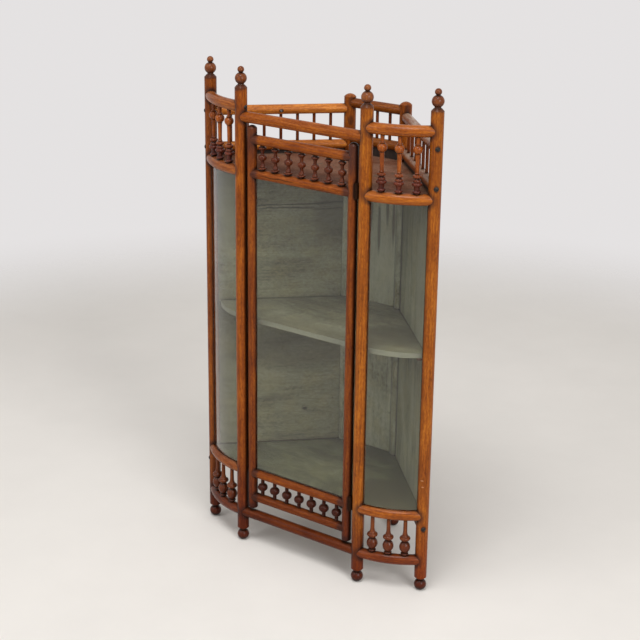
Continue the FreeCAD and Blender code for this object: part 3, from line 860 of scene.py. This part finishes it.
@dataclass
class Posts(Assembly):
    """Six round posts with their finials and feet."""

    golden: OakFinish = OakFinish(stain=(0.92, 0.92, 1.0))
    worn: OakFinish = OakFinish(stain=(0.86, 0.84, 1.0), low_tint=(0.62, 0.38, 0.36))
    reddish: OakFinish = OakFinish(stain=(0.79, 0.69, 0.72), low_end=0.31)
    dull: OakFinish = OakFinish(stain=(0.66, 0.58, 0.70))
    turned: OakFinish = OakFinish(stain=(0.56, 0.57, 1.8), roughness=0.30, varnish=0.2)
    feet: OakFinish = OakFinish(stain=(0.60, 0.54, 0.9), roughness=0.30, varnish=0.2)
    inside: Coating = Coating(PaintFinish())
    screw_stain: Color = (0.030, 0.010, 0.005)
    scratch: Color = (0.52, 0.30, 0.14)
    shade: Color = (0.150, 0.034, 0.004)
    scars_and_shade: Marks = (
        *spread(((PLAN.side_post[0] + PLAN.post_step, PLAN.side_post[1] - PLAN.post_step, z)
                 for z in PLAN.screw_heights), (0.006, 0.006, 0.0085), screw_stain, 0.85),
        Mark((0.2461, -0.079, 0.2202), (0.0036, 0.0036, 0.0014), scratch, 0.6),
        Mark((0.2475, -0.0785, 0.2080), (0.0030, 0.0030, 0.0013), scratch, 0.6),
        # painted shade: the upper part of the post darker
        Mark((*PLAN.side_post, 0.800), (0.03, 0.03, 0.14), shade, 0.2, 0.03))
    joint_stain_and_shade: Color = (0.036, 0.012, 0.009)
    joint_reach: Place = (0.0205, 0.0205, 0.0210)
    joint_share: float = 0.75
    top: float = 0.8815
    top_reach: Place = (0.03, 0.03, 0.0110)
    inner_heights: Span = (0.8260, 0.0605)
    back_heights: Span = (0.829, 0.796)
    back_step: float = 0.008
    back_reach: Place = (0.007, 0.007, 0.012)
    grime_and_shade_rings: tuple[Span, ...] = ((0.8855, 0.0055), (0.9035, 0.0040))
    ring_width: float = 9.0

    def dress(self) -> None:
        """Finishes the posts, finials and feet."""
        self.cabinet.dress("side_post_right", self.worn,
                           marks=self.scars_and_shade + self._joints(Side.RIGHT, False))
        self.cabinet.dress("side_post_left", self.dull, marks=self._joints(Side.LEFT, False))
        x, y = PLAN.back_post
        for side, front in ((Side.LEFT, self.reddish), (Side.RIGHT, self.golden)):
            spots = ((side.value * x + self.back_step, y - self.back_step, z)
                     for z in self.back_heights)
            self.cabinet.dress(f"back_post_{side.word}", self.dull, coating=self.inside,
                               marks=spread(spots, self.back_reach, self.joint_stain_and_shade, 0.6, 0.01))
            self.cabinet.dress(f"front_post_{side.word}", front, marks=self._joints(side, True))
        # dark rings where the finial meets the post and between its balls: stain and painted
        # shade
        self.cabinet.dress("post_finials", self.turned, marks=tuple(
            Mark((0.0, 0.0, z), (self.ring_width, self.ring_width, reach), self.joint_stain_and_shade, 0.5)
            for z, reach in self.grime_and_shade_rings))
        self.cabinet.dress("ball_feet", self.feet)

    def _joints(self, side: Side, front: bool) -> Marks:
        """Dark stains where the rails meet a post, and under its finial.

        Args:
            side: Side of the cabinet.
            front: Whether it is a front post and not a side post.

        Returns:
            The stains.
        """
        if front:
            x, y = PLAN.half_opening, PLAN.front
            spots = [(x + PLAN.post_radius, y, z) for z in PLAN.rail_heights]
            spots += [(x - PLAN.post_radius, y, z) for z in self.inner_heights]
        else:
            x, y = PLAN.side_post
            spots = [(x - PLAN.post_step, y - PLAN.post_step, z) for z in PLAN.rail_heights]
        return (*spread(((side.value * a, b, z) for a, b, z in spots), self.joint_reach,
                        self.joint_stain_and_shade, self.joint_share, 0.010),
                Mark((side.value * x, y, self.top), self.top_reach, self.joint_stain_and_shade,
                     self.joint_share, 0.012))


@dataclass
class Rails(Assembly):
    """Straight and bent rails of the case."""

    bent: OakFinish = OakFinish(stain=(0.96, 0.90, 1.0), varnish=0.2, roughness=0.28)
    shaded: OakFinish = OakFinish(stain=(0.80, 0.77, 1.5), dust_share=0.10, varnish=0.2,
                                  roughness=0.28)
    golden_wall: OakFinish = OakFinish(stain=(1.50, 1.75, 3.4))
    dusty_wall: OakFinish = OakFinish(stain=(0.62, 0.58, 1.4), dusty=(0.35, 0.26, 0.20),
                                      dust_share=0.9)
    back: OakFinish = OakFinish(stain=(0.62, 0.60, 0.9))
    front: OakFinish = OakFinish(stain=(0.80, 0.70, 0.8), low_tint=(0.26, 0.14, 0.15),
                                 dust_share=0.06, varnish=0.04)
    bruises: Marks = spread(
        ((0.1975, -0.1065, 0.7255), (0.2030, -0.1042, 0.7275), (0.2085, -0.1012, 0.7250)),
        (0.0022, 0.0022, 0.0075), (0.050, 0.018, 0.007), 0.7)
    ring: Color = (0.030, 0.010, 0.005)
    ring_reach: Place = (0.0055, 0.0055, 0.0048)
    hole_step: float = 0.0063
    hole_height: float = 0.8138

    def dress(self) -> None:
        """Finishes the rails, with dark rings round the hanging holes."""
        for kind in ("top", "gallery", "sill", "bottom"):
            self.cabinet.dress(f"side_{kind}_rail_right", self.bent, Grain.RIGHT_BEND,
                               marks=self.bruises if kind == "gallery" else ())
            self.cabinet.dress(f"side_{kind}_rail_left", self.shaded, Grain.LEFT_BEND)
        x, y = ((side + back) / 2 for side, back in zip(PLAN.side_post, PLAN.back_post))
        for side, finish, grain in ((Side.LEFT, self.golden_wall, Grain.LEFT_WALL),
                                    (Side.RIGHT, self.dusty_wall, Grain.RIGHT_WALL)):
            hole = Mark((side.value * (x - self.hole_step), y - self.hole_step, self.hole_height),
                        self.ring_reach, self.ring, 0.95)
            for kind in ("top", "gallery", "bottom"):
                self.cabinet.dress(f"wall_{kind}_rail_{side.word}", finish, grain,
                                   marks=(hole,) if kind == "top" else ())
        for kind in ("top", "gallery", "bottom"):
            self.cabinet.dress(f"back_{kind}_rail", self.back, Grain.ACROSS)
        for kind in ("top", "bottom"):
            self.cabinet.dress(f"front_{kind}_rail", self.front, Grain.ACROSS)


@dataclass
class Spindles(Assembly):
    """Turned and plain spindles of the galleries."""

    turned: OakFinish = OakFinish(stain=(0.84, 0.72, 1.0), low_tint=(0.34, 0.24, 0.9),
                                  low_start=0.750, low_end=0.790, varnish=0.25, roughness=0.28)
    low: OakFinish = OakFinish(stain=(0.55, 0.48, 1.2), varnish=0.25, roughness=0.28)
    plain: OakFinish = OakFinish(stain=(0.42, 0.32, 0.6))

    def dress(self) -> None:
        """Finishes the spindles."""
        for side in Side:
            self.cabinet.dress(f"gallery_spindles_{side.word}", self.turned)
            self.cabinet.dress(f"base_spindles_{side.word}", self.low)
        for kind in ("wall", "back"):
            self.cabinet.dress(f"{kind}_spindles", self.plain)


@dataclass
class Boards(Assembly):
    """Roof, shelf, bottom, wall panels and their cleats."""

    left_paint: PaintFinish = PaintFinish(
        paint=(0.130, 0.122, 0.075), pale=(0.198, 0.188, 0.124), painted_below=0.730)
    right_paint: PaintFinish = PaintFinish(streak_share=0.30, painted_below=0.730)
    back_paint: PaintFinish = PaintFinish(
        paint=(0.190, 0.183, 0.122), pale=(0.280, 0.275, 0.205), streak_share=0.30,
        painted_below=0.730)
    shelf_paint: PaintFinish = PaintFinish(
        paint=(0.180, 0.176, 0.120), pale=(0.260, 0.256, 0.185), worn_share=0.5,
        # pale edge: scuffed paint and a painted highlight
        edge_scuff_and_highlight=(0.23, 0.225, 0.175))
    floor_paint: PaintFinish = PaintFinish(
        paint=(0.086, 0.086, 0.047), pale=(0.150, 0.149, 0.089), cloud_share=1.1,
        worn=(0.050, 0.045, 0.022), worn_share=0.5)
    # dark paint colour used both for stains and for painted shade
    stain: Color = (0.058, 0.047, 0.028)
    wavy_line: Color = (0.038, 0.030, 0.017)
    knot_and_seam_shade: Color = (0.020, 0.014, 0.009)
    foot_line: Color = (0.026, 0.013, 0.005)
    left_marks: Marks = (
        # two thin wavy dark lines across the left panel
        *spread(((-0.1752, -0.0046, 0.6365), (-0.1380, 0.0326, 0.6355),
                 (-0.1000, 0.0708, 0.6365), (-0.0760, 0.0946, 0.6385),
                 (-0.1600, 0.0106, 0.6300), (-0.1250, 0.0456, 0.6290),
                 (-0.0860, 0.0846, 0.6265)), (0.045, 0.045, 0.0017), wavy_line, 0.9, 0.008),
        Mark((-0.1156, 0.055, 0.2222), (0.0065, 0.0065, 0.0042), knot_and_seam_shade, 0.85),
        # painted shade on the upper back part of the left panel
        Mark((-0.077, 0.0936, 0.610), (0.05, 0.05, 0.075), stain, 0.5, 0.02),
        # painted shadow on the left panel under the shelf
        Mark((-0.125, 0.0456, 0.350), (0.2, 0.2, 0.050), stain, 0.45, 0.004),
        # painted light: a lighter patch high on the front of the left panel
        Mark((-0.217, -0.0464, 0.66), (0.03, 0.03, 0.11), left_paint.pale, 0.6, 0.02),
        # a thin dark line along the foot of the left panel, at the bottom board
        Mark((-0.152, 0.022, 0.1550), (0.3, 0.3, 0.0022), foot_line, 0.95, 0.001))
    right_marks: Marks = (
        # painted light: a lighter patch on the right panel
        Mark((0.195, -0.021, 0.54), (0.05, 0.05, 0.16), right_paint.pale, 0.55, 0.02),
        Mark((0.170, 0.0006, 0.6623), (0.006, 0.006, 0.0018), knot_and_seam_shade, 0.8),
        # dark line at the seam with the back right post: grime and painted shade
        Mark((0.0694, 0.1054, 0.44), (0.0130, 0.0130, 0.6), knot_and_seam_shade, 0.9))
    back_marks: Marks = (
        # painted light: a lighter patch on the back panel
        Mark((0.020, 0.111, 0.535), (0.08, 0.03, 0.10), back_paint.pale, 0.6, 0.02),
        *spread(((-0.006, 0.111, 0.64), (0.012, 0.111, 0.60), (0.030, 0.111, 0.65),
                 (0.044, 0.111, 0.62)), (0.0045, 0.02, 0.06), stain, 0.8, 0.02),
        # dark line at the seam with the back right post: grime and painted shade
        Mark((0.0505, 0.111, 0.44), (0.0026, 0.02, 0.6), knot_and_seam_shade, 0.6))
    shelf_marks: Marks = (
        # a darker patch on the right of the shelf and a darker band along its front
        Mark((0.1405, -0.029, 0.452), (0.075, 0.075, 0.02), stain, 0.65),
        Mark((-0.01, -0.085, 0.4555), (0.20, 0.060, 0.006), stain, 0.35))
    floor_marks: Marks = (
        # painted shadow on the right of the bottom board
        Mark((0.139, -0.035, 0.154), (0.070, 0.060, 0.02), stain, 0.75),
        Mark((0.190, -0.060, 0.154), (0.065, 0.065, 0.02), stain, 0.5))

    def dress(self) -> None:
        """Finishes the boards and panels."""
        wall_out = sum(PLAN.side_post) * PLAN.wall_way + PLAN.panel_half
        self.cabinet.dress("wall_panel_left", self.left_paint, Grain.LEFT_WALL,
                           bare_from=wall_out, marks=self.left_marks)
        self.cabinet.dress("wall_panel_right", self.right_paint, bare_from=wall_out,
                           marks=self.right_marks)
        self.cabinet.dress("back_panel", self.back_paint, square_back=True,
                           bare_from=PLAN.back_post[1] + PLAN.panel_half, marks=self.back_marks)
        self.cabinet.dress("shelf", self.shelf_paint, Grain.ACROSS, marks=self.shelf_marks)
        self.cabinet.dress("bottom_board", self.floor_paint, Grain.ACROSS,
                           marks=self.floor_marks)
        self.cabinet.dress("roof_board", DUSTY, Grain.ACROSS)
        self.cabinet.dress("board_cleats", DUSTY, Grain.ACROSS)


@dataclass
class Panes(Assembly):
    """The two bent panes and the flat pane of the door."""

    def dress(self) -> None:
        """Finishes the panes."""
        self.cabinet.dress("side_glass_left", GLASS, Grain.LEFT_BEND)
        self.cabinet.dress("side_glass_right", GLASS, Grain.RIGHT_BEND)
        self.cabinet.dress("door_glass", GLASS)


@dataclass
class Door(Assembly):
    """Stiles, rails and spindles of the door."""

    frame: OakFinish = OakFinish(stain=(0.59, 0.49, 0.65), low_end=0.33)
    rails: OakFinish = OakFinish(stain=(0.70, 0.58, 0.66), low_tint=(0.28, 0.14, 0.1),
                                 low_end=0.20, varnish=0.03)
    bobbins: OakFinish = OakFinish(stain=(0.30, 0.20, 0.5), varnish=0.2, roughness=0.26)
    balls: OakFinish = OakFinish(stain=(0.17, 0.11, 0.4), varnish=0.08)
    tarnish: Color = (0.040, 0.015, 0.013)
    pore: Color = (0.030, 0.009, 0.003)
    heights: tuple[float, ...] = (0.7886, 0.7273, 0.1481, 0.0984)
    stile: Span = (0.1094, -0.113)
    top: float = 0.812
    top_reach: Place = (0.03, 0.03, 0.070)
    foot: float = 0.075
    foot_reach: Place = (0.03, 0.03, 0.016)
    joint: float = 0.1006
    joint_reach: Place = (0.0150, 0.0150, 0.0160)
    rail_end: float = 0.1015
    rail_reach: Place = (0.014, 0.02, 0.02)
    rail_pores: Marks = (
        Mark((-0.045, -0.1215, 0.7270), (0.052, 0.012, 0.0017), pore, 0.75, 0.006),
        Mark((0.045, -0.1210, 0.7220), (0.045, 0.012, 0.0015), pore, 0.7, 0.006))

    def dress(self) -> None:
        """Finishes the door."""
        x, y = self.stile
        for side, share in ((Side.LEFT, 0.55), (Side.RIGHT, 0.78)):
            joints = ((side.value * self.joint, y, height) for height in self.heights)
            self.cabinet.dress(f"door_stile_{side.word}", self.frame, marks=(
                Mark((side.value * x, y, self.top), self.top_reach, self.tarnish, share, 0.03),
                Mark((side.value * x, y, self.foot), self.foot_reach, self.tarnish, 0.7),
                *spread(joints, self.joint_reach, self.tarnish, 0.7, 0.01)))
        for kind, height in zip(("top", "upper", "lower", "bottom"), self.heights):
            ends = ((side.value * self.rail_end, PLAN.front, height) for side in Side)
            self.cabinet.dress(f"door_{kind}_rail", self.rails, Grain.ACROSS, marks=(
                *spread(ends, self.rail_reach, self.tarnish, 0.75, 0.01),
                *(self.rail_pores if kind == "upper" else ())))
        self.cabinet.dress("door_bobbins", self.bobbins)
        self.cabinet.dress("door_balls", self.balls)


@dataclass
class Metalwork(Assembly):
    """Screws, hinges and catch."""

    head_radius: float = 0.0044
    head_height: float = 0.0024
    head_sink: float = 0.0008
    head_margin: float = 0.995
    slot_half: float = 0.00045
    slot_depth: float = 0.0011
    rows: int = 9
    points: int = 15
    turn_start: float = 0.5
    turn_step: float = 1.3
    turn_side: float = 0.7

    def build(self) -> None:
        """Makes the slotted heads of the screws seen on the posts."""
        mesh = bpy.data.meshes.new("screw_heads")
        shaped = bmesh.new()
        slope = PLAN.wall_way
        places = [((*PLAN.side_post, z), (slope, -slope)) for z in PLAN.screw_heights]
        places.append(((PLAN.half_opening, PLAN.front, PLAN.rail_heights[0]), (-1.0, 0.0)))
        for side in Side:
            sign = side.value
            for i, ((x, y, z), out) in enumerate(places):
                way = Vector((sign * out[0], out[1], 0.0))
                base = Vector((sign * x, y, z)) + way * (PLAN.post_radius - self.head_sink)
                self._head(shaped, base, way,
                           self.turn_start + self.turn_step * i + self.turn_side * sign)
        shaped.to_mesh(mesh)
        shaped.free()
        heads = self.cabinet.add("screw_heads", mesh, "case", "iron")
        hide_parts("post_screws")
        self.cabinet.dress("screw_heads", IRON)

    def _head(self, shaped: bmesh.types.BMesh, base: Vector, way: Vector, turn: float) -> None:
        """Adds one domed head with a slot across it.

        Args:
            shaped: Mesh being made.
            base: Middle of the head's foot.
            way: Unit vector out of the post.
            turn: Angle of the slot.
        """
        ball = (self.head_radius ** 2 + self.head_height ** 2) / (2 * self.head_height)
        spin = way.to_track_quat("Z", "Y").to_matrix() @ Matrix.Rotation(turn, 3, "Z")
        reach = self.head_margin * self.head_radius
        steps = [self.slot_half + (reach - self.slot_half) * i / (self.rows - 1)
                 for i in range(self.rows)]
        lines = [(-v, 0.0) for v in reversed(steps)]
        lines += [(-self.slot_half, self.slot_depth), (self.slot_half, self.slot_depth)]
        lines += [(v, 0.0) for v in steps]
        grid = []
        for across, sunk in lines:
            half = math.sqrt(self.head_radius ** 2 - across ** 2)
            row = []
            for i in range(self.points):
                along = half * math.sin(math.pi * (i / (self.points - 1) - 0.5))
                high = self.head_height - ball + math.sqrt(ball ** 2 - along ** 2 - across ** 2)
                spot = Vector((along, across, max(high - sunk, 0.0)))
                row.append(shaped.verts.new(base + spin @ spot))
            grid.append(row)
        for first, second in zip(grid, grid[1:]):
            for i in range(self.points - 1):
                shaped.faces.new((first[i], first[i + 1], second[i + 1], second[i]))

    def dress(self) -> None:
        """Finishes the metal pieces."""
        for name in ("post_leaves", "stile_leaves", "pins", "post_screws", "stile_screws"):
            self.cabinet.dress(f"hinge_{name}", BRASS)
        for name in ("catch_clip", "catch_stud"):
            self.cabinet.dress(name, STEEL, Grain.ACROSS)


@dataclass(frozen=True)
class Lamp:
    """Square soft lamp that points at the middle of the cabinet, with its power in watts."""

    name: str
    place: Place
    size: float
    power: float
    aim: Place = (0.0, 0.0, 0.5)

    def build(self) -> None:
        """Hangs the lamp."""
        lamp = bpy.data.lights.new(self.name, "AREA")
        lamp.size = self.size
        lamp.energy = self.power
        holder = bpy.data.objects.new(self.name, lamp)
        holder.location = self.place
        way = Vector(self.aim) - Vector(self.place)
        holder.rotation_mode = "QUATERNION"
        holder.rotation_quaternion = way.to_track_quat("-Z", "Y")
        bpy.context.scene.collection.objects.link(holder)


@dataclass
class Studio:
    """Pale floor, soft lamps and pale surroundings."""

    floor_color: Color = (0.86, 0.825, 0.785)
    floor_dim: float = 0.96
    floor_cloud: Pattern = Pattern(4.0, 4.0, 0.6)
    floor_stops: Span = (0.3, 0.7)
    floor_rough: float = 0.9
    floor_specular: float = 0.1
    floor_size: float = 2.6
    floor_sides: int = 96
    fade: Span = (1.35, 2.3)
    wall_color: Color = (0.78, 0.76, 0.76)
    fill_color: Color = (1.0, 0.985, 0.96)
    fill: float = 0.45
    lamps: tuple[Lamp, ...] = (Lamp("key_lamp", (4.0, -1.8, 2.3), 1.9, 96.0),
                               Lamp("front_lamp", (-1.6, -2.9, 2.2), 1.8, 24.0),
                               Lamp("top_lamp", (0.5, -1.3, 3.3), 1.2, 42.0))

    def build(self) -> None:
        """Makes the floor, the world and the lamps."""
        self._floor()
        self._world()
        for lamp in self.lamps:
            lamp.build()

    def _floor(self) -> None:
        """Round floor that fades into the surroundings."""
        turns = [2 * math.pi * i / self.floor_sides for i in range(self.floor_sides)]
        points = [(0.0, 0.0, 0.0)]
        points += [(self.floor_size * math.cos(turn), self.floor_size * math.sin(turn), 0.0)
                   for turn in turns]
        faces = [(0, 1 + i, 1 + (i + 1) % self.floor_sides) for i in range(self.floor_sides)]
        mesh = bpy.data.meshes.new("floor")
        mesh.from_pydata(points, [], faces)
        floor = bpy.data.objects.new("floor", mesh)
        bpy.context.scene.collection.objects.link(floor)
        material = bpy.data.materials.new("floor_finish")
        shade = Shade(material, Grain.UPRIGHT)
        color = shade.ramp(shade.noise(self.floor_cloud), self.floor_stops,
                           dimmed(self.floor_color, self.floor_dim), self.floor_color)
        plain = shade.out("BsdfPrincipled", inputs={
            "Base Color": color, "Roughness": self.floor_rough,
            "Specular IOR Level": self.floor_specular})
        faded = shade.remap(shade.number("LENGTH", shade.place), *self.fade, smooth=True)
        shade.node("OutputMaterial", shade.out("MixShader", faded, plain,
                                               shade.out("BsdfTransparent")))
        mesh.materials.append(material)

    def _world(self) -> None:
        """Even light, and pale surroundings for the eye, in gloss and through glass."""
        world = bpy.data.worlds.new("surroundings")
        bpy.context.scene.world = world
        shade = Shade(world)
        path = shade.node("LightPath")
        seen = path.outputs["Is Camera Ray"]
        for kind in ("Is Glossy Ray", "Is Transmission Ray"):
            seen = shade.maths("MAXIMUM", seen, path.outputs[kind])
        light = shade.out("Background", self.fill_color, self.fill)
        plate = shade.out("Background", self.wall_color, 1.0)
        shade.node("OutputWorld", shade.out("MixShader", seen, light, plate))


@dataclass
class Viewpoint:
    """Camera where the photograph was taken."""

    place: Place = (1.535345, -2.125963, 1.358762)
    turn: float = 0.63790
    dip: float = 0.3353
    roll: float = 0.0124
    lens: float = 84.678
    sensor: float = 36.0
    clip: Span = (0.05, 50.0)

    def build(self) -> None:
        """Makes the camera and gives it to the scene."""
        camera = bpy.data.cameras.new("camera")
        camera.lens = self.lens
        camera.sensor_width = self.sensor
        camera.clip_start, camera.clip_end = self.clip
        holder = bpy.data.objects.new("camera", camera)
        sa, ca = math.sin(self.turn), math.cos(self.turn)
        se, ce = math.sin(self.dip), math.cos(self.dip)
        back = Vector((sa * ce, -ca * ce, se))
        right = Vector((ca, sa, 0.0))
        up = Vector((-sa * se, ca * se, ce))
        sr, cr = math.sin(self.roll), math.cos(self.roll)
        turned = Matrix((right * cr + up * sr, up * cr - right * sr, back)).transposed()
        holder.matrix_world = Matrix.Translation(self.place) @ turned.to_4x4()
        bpy.context.scene.collection.objects.link(holder)
        bpy.context.scene.camera = holder


def main(frame: dict[str, Any]) -> None:
    """Builds and dresses the cabinet, then the studio and the camera.
    """
    cabinet = Cabinet(frame)
    metalwork = Metalwork(cabinet)
    metalwork.build()
    for kind in (Posts, Rails, Spindles, Boards, Panes, Door):
        kind(cabinet).dress()
    metalwork.dress()
    Studio().build()
    Viewpoint().build()
    bpy.context.scene.view_settings.view_transform = "Standard"
    LOG.info("%d pieces dressed", cabinet.count)


if __name__ == "__main__":
    logging.basicConfig(level=logging.INFO, format="%(name)s: %(message)s")
    packed_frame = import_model()
    main(packed_frame)
